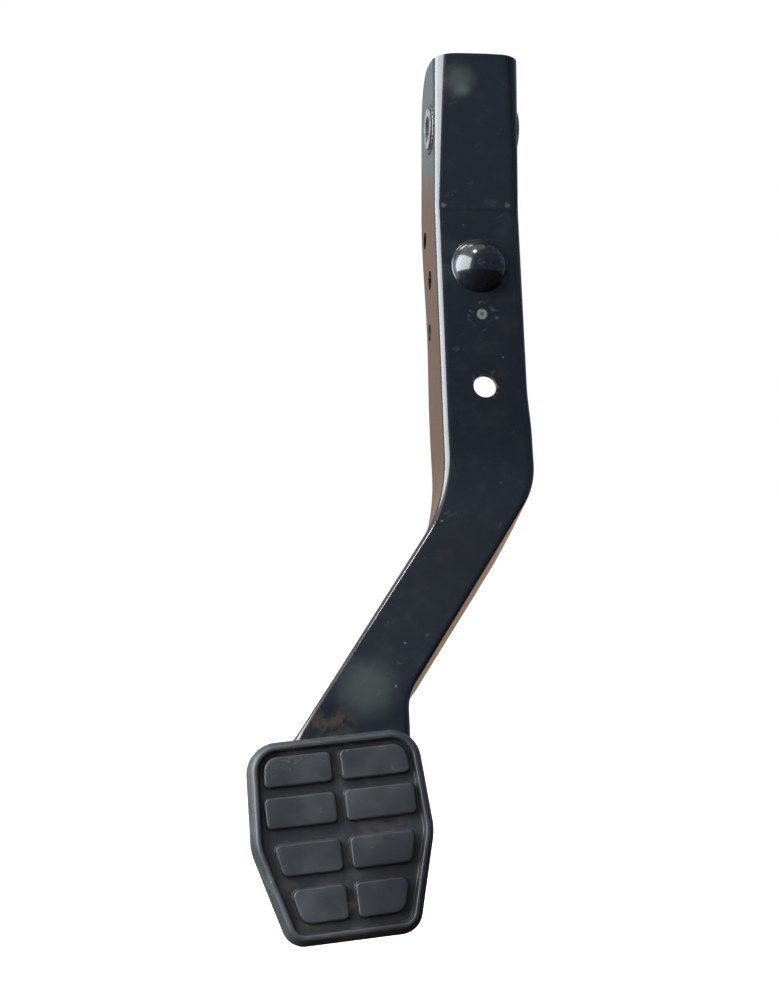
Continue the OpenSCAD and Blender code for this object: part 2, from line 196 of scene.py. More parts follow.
def bump(tree, shader, height, depth, strength=1.0):
    node = add(tree, "Bump", {"Height": height, "Distance": depth * mm, "Strength": strength})
    tree.links.new(node.outputs[0], shader.inputs["Normal"])


# Shape of the pressed arm, the same as the solids' but for the radius of its outer bends
arm = {
    "width": 33.5,
    "lowWidth": 26,
    "sheet": 2.5,
    "bend": 6.5,
    "lowBend": 3,
    "topRise": 26.2,
    "topCrown": 1.4,
    "crownFade": 12,
    "pivotDepth": 13.5,
    "eyeReach": 22,
    "eyePower": 2.6,
    "creaseDrop": 33,
    "creaseAngle": math.radians(14),
    "creaseRadius": 12,
    "elbowDrop": 144,
    "elbowAngle": math.radians(12),
    "elbowLength": 50,
    "ankleDrop": 232,
    "ankleAngle": math.radians(12),
    "ankleLength": 24,
    "turnDrop": 150,
    "slant": math.radians(33),
    "footLap": 34,
    "bulge": 1,
    "bulgeStart": 104,
    "bulgeEnd": 126,
    "innerReach": 19,
    "outerReach": 9,
    "kinkReach": 6,
    "kinkDrop": 227,
    "splay": math.radians(3),
    "lowDrop": 190,
    "flangeCells": 20,
    "bendCells": 12,
    "webCells": 46,
    "edgeRound": 0.35,
}
halfWidth = arm["width"] / 2
slope = math.tan(arm["slant"])
footDrop = arm["ankleDrop"] + arm["ankleLength"] / 2
plateTopDrop = footDrop + 1.5
armEnd = plateTopDrop + arm["footLap"]


def webRuns():
    creaseLength = arm["creaseRadius"] * arm["creaseAngle"]
    creaseTop = arm["creaseDrop"] - creaseLength / 2
    elbowTop = arm["elbowDrop"] - arm["elbowLength"] / 2
    elbowFoot = elbowTop + arm["elbowLength"]
    ankleTop = arm["ankleDrop"] - arm["ankleLength"] / 2
    return [
        (arm["topRise"] + creaseTop, 0),
        (creaseLength, arm["creaseAngle"]),
        (elbowTop - creaseTop - creaseLength, 0),
        (arm["elbowLength"], arm["elbowAngle"]),
        (ankleTop - elbowFoot, 0),
        (arm["ankleLength"], -arm["ankleAngle"]),
        (armEnd, 0),
    ]


def webLine(drop):
    # Place and lean of the web's face at a drop below the pivot
    left = drop + arm["topRise"]
    y, z, lean = -arm["pivotDepth"], arm["topRise"], 0
    for length, turn in webRuns():
        run = min(left, length)
        after = lean + turn * run / length
        if turn:
            radius = length / turn
            y += radius * (math.cos(after) - math.cos(lean))
            z += radius * (math.sin(lean) - math.sin(after))
        else:
            y -= run * math.sin(lean)
            z -= run * math.cos(lean)
        lean = after
        left -= run
        if left <= 0:
            break
    return y, z, lean


def place(x, drop, depth):
    y, z, lean = webLine(drop)
    return Vector((x, y + depth * math.cos(lean), z - depth * math.sin(lean)))


def onWeb(x, drop, roll=0):
    # Frame on the web's face: X across, Y up the web, Z towards the driver
    lean = webLine(drop)[2]
    side, up = Vector((1, 0, 0)), Vector((0, math.sin(lean), math.cos(lean)))
    turned = Matrix((side, up, side.cross(up))).transposed().to_4x4()
    return Matrix.Translation(place(x, drop, 0)) @ turned @ Matrix.Rotation(roll, 4, "Z")


def between(a, b, t):
    return a + (b - a) * t


def eased(a, b, t):
    return between(a, b, (1 - math.cos(math.pi * min(1, max(0, t)))) / 2)


def curve(a, b, c, t):
    return between(between(a, b, t), between(b, c, t), t)


def leftX(drop):
    return -halfWidth - (drop - arm["turnDrop"]) * slope


turnOutX = -halfWidth + arm["lowWidth"] * math.cos(arm["slant"])
turnOutDrop = arm["turnDrop"] + arm["lowWidth"] * math.sin(arm["slant"]) - (halfWidth - turnOutX) / slope


def rightX(drop):
    return halfWidth - (drop - turnOutDrop) * slope


def upperDrops():
    # Rows from the top edge down, close together where the sheet turns or is pressed
    drops = [-arm["topRise"]]
    drops += [-arm["topRise"] * math.cos(math.radians(a)) for a in range(12, 90, 4)]
    drop = 0
    while drop < arm["bulgeEnd"]:
        drops.append(drop)
        near = [abs(drop - middle) < reach for middle, reach in ((33, 4), (57, 13), (105.6, 7))]
        drop += 0.5 if any(near) else 1
    return drops + [arm["bulgeEnd"]]


def lowerEdge(corners, reach):
    # Rounded corner at the elbow, straight run, small kink above the foot and the end
    turn, kink, end = corners
    down = (kink - turn).normalized()
    a = turn - Vector((0, reach))
    b = turn + down * reach
    d = kink - down * arm["kinkReach"]
    e = kink + (end - kink).normalized() * arm["kinkReach"]
    points = [curve(a, turn, b, k / 28) for k in range(29)]
    points += [between(b, d, k / 44) for k in range(1, 45)]
    points += [curve(d, kink, e, k / 12) for k in range(1, 13)]
    points += [between(e, end, k / 16) for k in range(1, 17)]
    return points


def armEdges():
    drops = upperDrops()
    leftKink = footDrop + 2
    left = lowerEdge(
        [Vector((-halfWidth, arm["turnDrop"])), Vector((leftX(leftKink), leftKink)),
            Vector((leftX(leftKink), armEnd))],
        arm["innerReach"],
    )
    outTurn = Vector((halfWidth + arm["bulge"], turnOutDrop - arm["bulge"] / slope))
    right = lowerEdge(
        [outTurn, Vector((rightX(arm["kinkDrop"]), arm["kinkDrop"])),
            Vector((rightX(arm["kinkDrop"]), armEnd))],
        arm["outerReach"],
    )
    swell = arm["bulgeEnd"] - arm["bulgeStart"]
    upperLeft = [Vector((-halfWidth, drop)) for drop in drops]
    upperRight = [
        Vector((eased(halfWidth, outTurn.x, (drop - arm["bulgeStart"]) / swell), drop)) for drop in drops
    ]
    joinLeft = [between(upperLeft[-1], left[0], k / 6) for k in range(1, 6)]
    joinRight = [between(upperRight[-1], right[0], k / 6) for k in range(1, 6)]
    return upperLeft + joinLeft + left, upperRight + joinRight + right


flangeMarks = [
    (0, arm["pivotDepth"] + arm["eyeReach"]), (33, 35.5), (77, 31.5), (108, 34), (140, 32.5), (190, 19),
    (227, 17), (armEnd, 9),
]


def flangeDepth(drop):
    if drop < 0:
        power = arm["eyePower"]
        return arm["pivotDepth"] + arm["eyeReach"] * max(0, 1 - (-drop / arm["topRise"]) ** power) ** (1 / power)
    for (fromDrop, fromDepth), (toDrop, toDepth) in zip(flangeMarks, flangeMarks[1:]):
        if drop <= toDrop:
            return eased(fromDepth, toDepth, (drop - fromDrop) / (toDrop - fromDrop))
    return flangeMarks[-1][1]


def bendRadius(drop):
    # Wide at the top edge, tighter from the crease on
    share = min(1, max(0, (drop + arm["topRise"]) / (arm["creaseDrop"] + arm["topRise"])))
    return between(arm["bend"], arm["lowBend"], share ** 0.8)


def sectionPoint(column, width, depth, lean, radius):
    # Distance across the arm and depth behind the web, round the folded sheet
    cells = 2 * (arm["flangeCells"] + arm["bendCells"]) + arm["webCells"]
    mirrored = column > cells / 2
    if mirrored:
        column = cells - column
    bend, web = column - arm["flangeCells"], column - arm["flangeCells"] - arm["bendCells"]
    if bend < 0:
        down = between(depth, radius, column / arm["flangeCells"])
        across = -math.tan(lean) * (down - radius)
    elif web < 0:
        angle = math.pi / 2 * bend / arm["bendCells"]
        across, down = radius * (1 - math.cos(angle)), radius * (1 - math.sin(angle))
    else:
        across, down = between(radius, width - radius, web / arm["webCells"]), 0
    return (width - across if mirrored else across), down


def crown(drop, x):
    # The top edge stands higher in its middle
    fade = max(0, 1 - (drop + arm["topRise"]) / arm["crownFade"])
    return arm["topCrown"] * (1 - min(1, abs(x) / halfWidth) ** 4) * fade


def foldSheet(bm):
    # A flat grid is folded into the channel, row by row
    rowLayer, columnLayer = bm.verts.layers.int["row"], bm.verts.layers.int["column"]
    left, right = armEdges()
    rows = len(left) - 1
    cells = 2 * (arm["flangeCells"] + arm["bendCells"]) + arm["webCells"]
    grid = bmesh.ops.create_grid(bm, x_segments=cells, y_segments=rows, size=1)["verts"]
    for vert in grid:
        column = round((vert.co.x + 1) / 2 * cells)
        row = round((1 - vert.co.y) / 2 * rows)
        a, b = left[row], right[row]
        drop = (a.y + b.y) / 2
        share = min(1, max(0, (drop - arm["turnDrop"]) / (arm["lowDrop"] - arm["turnDrop"])))
        across, depth = sectionPoint(
            column, (b - a).length, flangeDepth(drop), arm["splay"] * share, bendRadius(drop)
        )
        point = a + (b - a).normalized() * across
        vert.co = place(point.x, point.y - crown(drop, point.x), depth)
        vert[rowLayer], vert[columnLayer] = row, column


def ringPatch(bm, matrix, reach, rings, closed=False):
    # A patch of the sheet becomes rings of given radius and height round the frame's middle
    row, column, turn = bm.verts.layers.int["row"], bm.verts.layers.int["column"], bm.verts.layers.float["turn"]
    inverse = matrix.inverted()
    deep = 0.1

    def inPatch(vert):
        local = inverse @ vert.co
        return abs(local.x) < reach and abs(local.y) < reach and abs(local.z) < deep

    near = [vert for vert in bm.verts if vert[row] >= 0 and inPatch(vert)]
    first, last = (Vector((pick(v[row] for v in near), pick(v[column] for v in near))) for pick in (min, max))
    patch = [
        face for face in bm.faces
        if all(first.x <= v[row] <= last.x and first.y <= v[column] <= last.y for v in face.verts)
    ]
    inside = set(patch)
    edges = [edge for edge in bm.edges if len({face in inside for face in edge.link_faces}) == 2]
    bmesh.ops.delete(bm, geom=patch, context="FACES")
    for vert in {v for edge in edges for v in edge.verts}:
        local = inverse @ vert.co
        vert[turn] = math.atan2(local.y, local.x)
    for radius, height in rings:
        grown = bmesh.ops.extrude_edge_only(bm, edges=edges)["geom"]
        verts = {item for item in grown if isinstance(item, bmesh.types.BMVert)}
        edges = [item for item in grown if isinstance(item, bmesh.types.BMEdge) and set(item.verts) <= verts]
        for vert in verts:
            vert[row] = -1
            vert.co = matrix @ Vector((radius * math.cos(vert[turn]), radius * math.sin(vert[turn]), height))
    if closed:
        bmesh.ops.contextual_create(bm, geom=edges)


dome = {"drop": 57, "diameter": 21.5, "height": 9, "fillet": 0.7, "capRings": 26, "filletRings": 5, "tip": 0.4}


def domeRings():
    # Rings from the web over the fillet and up the ball to its tip
    half = dome["diameter"] / 2
    ball = (half ** 2 + dome["height"] ** 2) / (2 * dome["height"])
    middle = dome["height"] - ball
    fillet = dome["fillet"]
    out = math.sqrt((ball + fillet) ** 2 - (fillet - middle) ** 2)
    touch = math.atan2(fillet - middle, out)
    rings = []
    for k in range(dome["filletRings"] + 1):
        angle = between(-math.pi / 2, touch - math.pi, k / dome["filletRings"])
        rings.append((out + fillet * math.cos(angle), fillet + fillet * math.sin(angle)))
    last = math.acos(dome["tip"] / ball)
    for k in range(1, dome["capRings"] + 1):
        angle = between(touch, last, k / dome["capRings"])
        rings.append((ball * math.cos(angle), middle + ball * math.sin(angle)))
    return rings


holes = {
    "web": (105.6, 9),
    "clevis": (56, 19, 8),
    "upperSide": (36, 27.5, 7),
    "lowerSide": (76, 24.5, 7),
    "pivot": (0, 13.5, 15),
}


def flangeFrame(side, drop, depth):
    point = place(side * halfWidth, drop, depth)
    lean = webLine(drop)[2]
    out, up = Vector((side, 0, 0)), Vector((0, math.sin(lean), math.cos(lean)))
    turned = Matrix((up.cross(out), up, out)).transposed().to_4x4()
    return Matrix.Translation(point) @ turned


def pressArm():
    bm = bmesh.new()
    bm.verts.layers.int.new("row")
    bm.verts.layers.int.new("column")
    bm.verts.layers.float.new("turn")
    foldSheet(bm)
    ringPatch(bm, onWeb(0, dome["drop"]), 11.9, domeRings(), closed=True)
    webHole, webHoleWidth = holes["web"]
    radius = webHoleWidth / 2
    ringPatch(bm, onWeb(0, webHole), radius + 2.4, [(radius + 0.6, 0), (radius, 0)])
    for name in ("clevis", "upperSide", "lowerSide", "pivot"):
        drop, depth, width = holes[name]
        radius = width / 2
        for side in (-1, 1):
            ringPatch(bm, flangeFrame(side, drop, depth), radius + 2.4, [(radius + 0.6, 0), (radius, 0)])
    bmesh.ops.recalc_face_normals(bm, faces=bm.faces)
    facing = min(bm.faces, key=lambda face: (face.calc_center_median() - place(6, 90, 0)).length)
    if facing.normal.y > 0:
        bmesh.ops.reverse_faces(bm, faces=bm.faces)
    return bm


def makePiece(name, bm, material, nodes):
    bmesh.ops.scale(bm, vec=(mm, mm, mm), verts=bm.verts)
    for face in bm.faces:
        face.smooth = True
    mesh = bpy.data.meshes.new(name)
    bm.to_mesh(mesh)
    bm.free()
    mesh.materials.append(material)
    piece = bpy.data.objects.new(name, mesh)
    bpy.context.scene.collection.objects.link(piece)
    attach(piece, "root")
    for node in nodes:
        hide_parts(node)
    print("piece made:", name, len(mesh.polygons), "faces")
    return piece


def roundEdges(piece, width, angle=40):
    bevel = piece.modifiers.new("roundedEdges", "BEVEL")
    bevel.width = width * mm
    bevel.segments = 3
    bevel.limit_method = "ANGLE"
    bevel.angle_limit = math.radians(angle)
    bevel.harden_normals = True


# Enamel on the steel
paint = {
    "colour": (0.0066, 0.0082, 0.0118, 1),
    "roughness": 0.3,
    "coatRoughness": 0.1,
    "dust": (0.085, 0.088, 0.08, 1),
    # Greenish grey of the painted reflections and highlights on the arm
    "paintedSheen": (0.1, 0.125, 0.11, 1),
    "bare": (0.16, 0.165, 0.16, 1),
    "earth": (0.045, 0.035, 0.024, 1),
}


def paintMaterial(name, marks=False):
    material, tree, shader, where = startMaterial(name)
    film = mark(tree, speckle, {"Vector": where, "Scale": 140.0, "Detail": 8.0, "From": 0.46, "To": 0.9})
    fine = mark(tree, speckle, {"Vector": where, "Scale": 900.0, "Detail": 2.0, "From": 0.62, "To": 0.75})
    dustMask = calc(tree, "MULTIPLY", calc(tree, "ADD", film, calc(tree, "MULTIPLY", fine, 0.6)), 0.12, True)
    colour = blendColour(tree, dustMask, paint["colour"], paint["dust"])
    paler = mark(tree, edgeWear, {"Vector": where, "From": 0.56, "To": 0.68, "Breakup": 420.0})
    lines = mark(tree, scratches, {"Vector": where, "Scale": 95.0, "Stretch": 0.05, "Turn": 0.5, "Share": 0.63})
    light = calc(tree, "ADD", calc(tree, "MULTIPLY", paler, 0.5), calc(tree, "MULTIPLY", lines, 0.12), True)
    if marks:
        colour, light = armMarks(tree, where, colour, light)
    colour = blendColour(tree, light, colour, paint["bare"])
    tree.links.new(colour, shader.inputs["Base Color"])
    shader.inputs["IOR"].default_value = 1.5
    shader.inputs["Specular IOR Level"].default_value = 0.2
    shader.inputs["Coat IOR"].default_value = 1.5
    shader.inputs["Coat Roughness"].default_value = paint["coatRoughness"]
    dull = calc(tree, "MULTIPLY_ADD", dustMask, 1.2)
    dull.node.inputs[2].default_value = paint["roughness"]
    tree.links.new(dull, shader.inputs["Roughness"])
    coat = calc(tree, "SUBTRACT", 1.0, calc(tree, "MULTIPLY", calc(tree, "ADD", dustMask, light), 1.6), True)
    tree.links.new(coat, shader.inputs["Coat Weight"])
    height = mark(tree, grain, {"Vector": where, "Fine": 1400.0, "Fine Share": 0.05, "Slow": 60.0, "Slow Share": 1.0})
    bump(tree, shader, height, 0.3)
    return material


# Real wear marks on the arm, and spots of painted reflection and highlight on the web's top, along the crease and on
# the lower arm
armWearAndSheen = {
    "ring": (0, 76.6),
    "scuff": (0.4, 77.4),
    "paintedSheen": (
        (-7.5, -17, 1, 9, 0.42), (-6.4, -13, 0.4, 4.2, 0.5), (-13.5, 60, 1, 6, 0.1), (-51, 225, 3, 15, 0.34),
        (-13.4, 32.3, 0.3, 1.3, 0.6), (11.9, 31.9, 0.3, 1.3, 0.6), (6.2, 31.2, 0.2, 2.2, 0.14),
        (3.6, 31.0, 0.2, 2.2, 0.1),
    ),
    "specks": ((-19.4, 159.6, 0.5), (-40.5, 224.5, 0.55), (-36.2, 208.1, 0.5), (7.4, 94, 0.35), (-6, 40, 0.3)),
    "earth": (-66, 239.5),
}


def armMarks(tree, where, colour, light):
    ringAt = localFrame(tree, where, onWeb(*armWearAndSheen["ring"]))
    disc = mark(tree, spot, {"Vector": ringAt, "Inner": 1.7, "Outer": 2.3, "Ragged": 0.9, "Grit": 0.9})
    core = mark(tree, spot, {"Vector": ringAt, "Inner": 0.4, "Outer": 1.2, "Ragged": 0.8, "Grit": 0.8})
    ring = calc(tree, "SUBTRACT", disc, calc(tree, "MULTIPLY", core, 0.6), True)
    scuffAt = localFrame(tree, where, onWeb(*armWearAndSheen["scuff"]))
    outer = mark(tree, spot, {"Vector": scuffAt, "Inner": 5.6, "Outer": 6.6, "Ragged": 3.0, "Grit": 0.22})
    inner = mark(tree, spot, {"Vector": scuffAt, "Inner": 3.6, "Outer": 5.4, "Ragged": 3.0, "Grit": 0.3})
    patchy = mark(tree, speckle, {"Vector": where, "Scale": 330.0, "Detail": 5.0, "From": 0.48, "To": 0.64})
    arcs = calc(tree, "MULTIPLY", calc(tree, "SUBTRACT", outer, inner, True), patchy)
    light = calc(tree, "ADD", light, calc(tree, "MULTIPLY", ring, 0.95), True)
    light = calc(tree, "ADD", light, calc(tree, "MULTIPLY", arcs, 0.3), True)
    for x, drop, size in armWearAndSheen["specks"]:
        speckAt = localFrame(tree, where, onWeb(x, drop))
        dot = mark(
            tree, spot, {"Vector": speckAt, "Inner": size * 0.6, "Outer": size * 1.1, "Ragged": 0.5, "Grit": 1.5}
        )
        light = calc(tree, "ADD", light, calc(tree, "MULTIPLY", dot, 0.6), True)
    # Painted reflections and highlights: soft greenish grey patches on the web's top, at the crease and on the lower
    # arm
    for x, drop, inner, outer, share in armWearAndSheen["paintedSheen"]:
        paintedSheenAt = localFrame(tree, where, onWeb(x, drop))
        paintedSheen = mark(tree, spot, {"Vector": paintedSheenAt, "Inner": inner, "Outer": outer, "Ragged": 5.0, "Grit": 0.15})
        colour = blendColour(tree, calc(tree, "MULTIPLY", paintedSheen, share), colour, paint["paintedSheen"])
    earthAt = localFrame(tree, where, onWeb(*armWearAndSheen["earth"]))
    earth = mark(tree, spot, {"Vector": earthAt, "Inner": 3.0, "Outer": 15.0, "Ragged": 16.0, "Grit": 0.12})
    crumbs = mark(tree, speckle, {"Vector": where, "Scale": 260.0, "Detail": 6.0, "From": 0.4, "To": 0.62})
    colour = blendColour(tree, calc(tree, "MULTIPLY", earth, crumbs), colour, paint["earth"])
    return colour, light


armPaint = paintMaterial("armPaint", marks=True)
platePaint = paintMaterial("platePaint")
print("materials for the steel made")

armPiece = makePiece("pressedArm", pressArm(), armPaint, ["pedal_arm"])
wall = armPiece.modifiers.new("sheetThickness", "SOLIDIFY")
wall.thickness = arm["sheet"] * mm
wall.offset = -1
roundEdges(armPiece, arm["edgeRound"])


# Rubber pad in its own frame: X across, Y up, Z towards the driver, zero on the plate's back
pad = {
    "width": 64.5,
    "height": 70.5,
    "topWidth": 60.6,
    "lowWidth": 45.4,
    "wideY": 1.2,
    "x": -61.2,
    "roll": math.radians(5.5),
    "plate": 2.5,
    "wall": 3.2,
    "edgeGap": 0.1,
    "floor": 3,
    "rim": 2.8,
    "rimWidth": 2,
    "flare": 1.6,
    "lip": 2,
    "lipWidth": 6,
    "cornerSteps": 14,
    "blockSteps": 8,
    "groove": 1.7,
    "blockRound": 1.8,
    "bigRound": 4.6,
    "softRound": 2.4,
}
padDrop = plateTopDrop - pad["wall"] + pad["height"] / 2
padFrame = onWeb(pad["x"], padDrop, pad["roll"])
faceZ = pad["plate"] + pad["floor"] + pad["rim"]
floorZ = pad["plate"] + pad["floor"]
padCorners = [
    (pad["topWidth"] / 2, pad["height"] / 2, 11), (-pad["topWidth"] / 2, pad["height"] / 2, 11),
    (-pad["width"] / 2, -pad["wideY"], 22), (-pad["lowWidth"] / 2, -pad["height"] / 2, 8),
    (pad["lowWidth"] / 2, -pad["height"] / 2, 8), (pad["width"] / 2, -pad["wideY"], 22),
]


def roundedOutline(corners, inset, steps, z):
    # A polygon moved in by the inset, with its corners rounded
    points = []
    for i, (x, y, radius) in enumerate(corners):
        before, after = corners[i - 1], corners[(i + 1) % len(corners)]
        d0 = (Vector((x, y)) - Vector(before[:2])).normalized()
        d1 = (Vector(after[:2]) - Vector((x, y))).normalized()
        n0, n1 = Vector((-d0.y, d0.x)), Vector((-d1.y, d1.x))
        corner = Vector((x, y)) + (n0 + n1) * inset / (1 + n0.dot(n1))
        turn = math.acos(min(1, d0.dot(d1)))
        radius = max(0.2, radius - inset)
        middle = corner - d0 * radius * math.tan(turn / 2) + n0 * radius
        start = math.atan2(d0.y, d0.x) - math.pi / 2
        for k in range(steps + 1):
            angle = start + turn * k / steps
            points.append(Vector((middle.x + radius * math.cos(angle), middle.y + radius * math.sin(angle), z)))
    return points


def startRing(bm, points):
    order = bm.verts.layers.int["order"]
    verts = [bm.verts.new(point) for point in points]
    for i, vert in enumerate(verts):
        vert[order] = i
    return [bm.edges.new((verts[i - 1], verts[i])) for i in range(len(verts))]


def growRing(bm, edges, points):
    order = bm.verts.layers.int["order"]
    grown = bmesh.ops.extrude_edge_only(bm, edges=edges)["geom"]
    verts = {item for item in grown if isinstance(item, bmesh.types.BMVert)}
    for vert in verts:
        vert.co = points[vert[order]]
    return [item for item in grown if isinstance(item, bmesh.types.BMEdge) and set(item.verts) <= verts]


def quarter(middle, radius, start, end, steps):
    # Points of an arc as inset and height, angles in degrees
    return [
        (middle[0] + radius * math.cos(math.radians(between(start, end, k / steps))),
            middle[1] + radius * math.sin(math.radians(between(start, end, k / steps))))
        for k in range(steps + 1)
    ]


def wallProfile():
    # From the lip behind the plate, round the back corner, up the side and over the rim to the recess
    lipEdge = pad["wall"] + pad["lipWidth"]
    back = -pad["lip"]
    rimIn = pad["flare"] + pad["rimWidth"]
    profile = [(lipEdge, back + 0.5)]
    profile += quarter((lipEdge - 0.5, back + 0.5), 0.5, 0, -90, 3)[1:]
    profile += [(3.5, back)]
    profile += quarter((1.6, back + 1.6), 1.6, 270, 180, 7)
    profile += [(0.04, 1.0), (0.12, 2.2), (0.32, 3.6), (0.62, 4.8), (0.98, 6.0), (1.35, 7.0)]
    profile += quarter((2.75, faceZ - 1.15), 1.15, 160, 90, 5)
    profile += quarter((rimIn - 0.55, faceZ - 0.55), 0.55, 90, 12, 5)
    profile += [(rimIn + 0.2, faceZ - 1.4)]
    profile += quarter((rimIn + 0.95, floorZ + 0.6), 0.6, 190, 270, 4)
    return profile


def blockCorners(row, side):
    high, low, highHalf, lowHalf, highRound, lowRound = row
    groove, inner = pad["groove"], pad["blockRound"]
    if side > 0:
        return [(groove, high, inner), (groove, low, inner), (lowHalf, low, lowRound), (highHalf, high, highRound)]
    return [(-highHalf, high, highRound), (-lowHalf, low, lowRound), (-groove, low, inner), (-groove, high, inner)]


blockRows = [
    (29.4, 19.2, 24.6, 25.6, pad["bigRound"], pad["blockRound"]),
    (15.5, 5, 26.2, 26, pad["blockRound"], pad["blockRound"]),
    (-0.7, -11.4, 24.6, 22.2, pad["blockRound"], pad["softRound"]),
    (-16.2, -27.9, 20.6, 17.4, pad["softRound"], pad["bigRound"]),
]
blockWall = [
    (-0.75, 0), (-0.5, 0.06), (-0.34, 0.2), (-0.24, 0.5), (-0.16, 1.1), (-0.06, 1.9), (0.0, 2.25), (0.08, 2.45),
    (0.22, 2.6), (0.42, 2.68), (0.8, 2.73), (1.8, 2.78), (3.4, 2.8),
]


def mouldPad():
    bm = bmesh.new()
    bm.verts.layers.int.new("order")
    steps = pad["cornerSteps"]
    lipEdge = pad["wall"] + pad["lipWidth"]
    cavity = pad["wall"] - pad["edgeGap"]
    first = startRing(bm, roundedOutline(padCorners, lipEdge, steps, 0))
    inner = growRing(bm, first, roundedOutline(padCorners, cavity, steps, 0))
    inner = growRing(bm, inner, roundedOutline(padCorners, cavity, steps, pad["plate"]))
    bmesh.ops.contextual_create(bm, geom=inner)
    edges = first
    for inset, z in wallProfile():
        edges = growRing(bm, edges, roundedOutline(padCorners, inset, steps, z))
    floorEdges = list(edges)
    for row in blockRows:
        for side in (-1, 1):
            corners = blockCorners(row, side)
            edges = startRing(bm, roundedOutline(corners, blockWall[0][0], pad["blockSteps"], floorZ))
            floorEdges += edges
            for inset, rise in blockWall[1:]:
                edges = growRing(bm, edges, roundedOutline(corners, inset, pad["blockSteps"], floorZ + rise))
            bmesh.ops.contextual_create(bm, geom=edges)
    bmesh.ops.triangle_fill(bm, use_beauty=True, edges=floorEdges, normal=(0, 0, 1))
    bmesh.ops.recalc_face_normals(bm, faces=bm.faces)
    bmesh.ops.transform(bm, matrix=padFrame, verts=bm.verts)
    return bm


def slotCutter():
    # The room for the arm and its weld through the lip, in the frame of the foot
    left, right = armEdges()
    gap = 0.8 + 2.6
    rows = [i for i in range(len(left)) if left[i].y > arm["ankleDrop"] - arm["ankleLength"] / 2]
    points = [Vector((left[i].x - gap, plateTopDrop - left[i].y, -4)) for i in rows]
    points += [Vector((left[-1].x - gap, plateTopDrop - armEnd - gap, -4))]
    points += [Vector((right[-1].x + gap, plateTopDrop - armEnd - gap, -4))]
    points += [Vector((right[i].x + gap, plateTopDrop - right[i].y, -4)) for i in reversed(rows)]
    bm = bmesh.new()
    outline = bm.faces.new([bm.verts.new(point) for point in points])
    solid = bmesh.ops.extrude_face_region(bm, geom=[outline])["geom"]
    bmesh.ops.translate(bm, vec=(0, 0, 4), verts=[v for v in solid if isinstance(v, bmesh.types.BMVert)])
    bmesh.ops.recalc_face_normals(bm, faces=bm.faces)
    bmesh.ops.transform(bm, matrix=onWeb(0, plateTopDrop), verts=bm.verts)
    bmesh.ops.scale(bm, vec=(mm, mm, mm), verts=bm.verts)
    mesh = bpy.data.meshes.new("slotCutter")
    bm.to_mesh(mesh)
    bm.free()
    cutter = bpy.data.objects.new("slotCutter", mesh)
    bpy.context.scene.collection.objects.link(cutter)
    return cutter


rubber = {
    "colour": (0.026, 0.029, 0.032, 1),
    # Lighter grey of the painted sheen on the pad's raised faces
    "paler": (0.052, 0.059, 0.066, 1),
    # Tint and place of the painted shadow over the pad's lower right
    "shadowTint": (0.012, 0.0128, 0.0138, 1),
    "dust": (0.1, 0.097, 0.09, 1),
    "pale": (0.2, 0.2, 0.19, 1),
    "ochre": (0.16, 0.1, 0.03, 1),
    "roughness": 0.42,
    "ochreAt": (-0.5, -23.6),
    "scratchAt": (-15, 29.0),
    "shadowAt": (24, -26),
    "specks": ((-27, -12.4, 0.4), (-19.5, 30.3, 0.35), (-6.5, -15.3, 0.4), (9.3, -28.8, 0.35), (-14, 27.6, 0.3)),
}


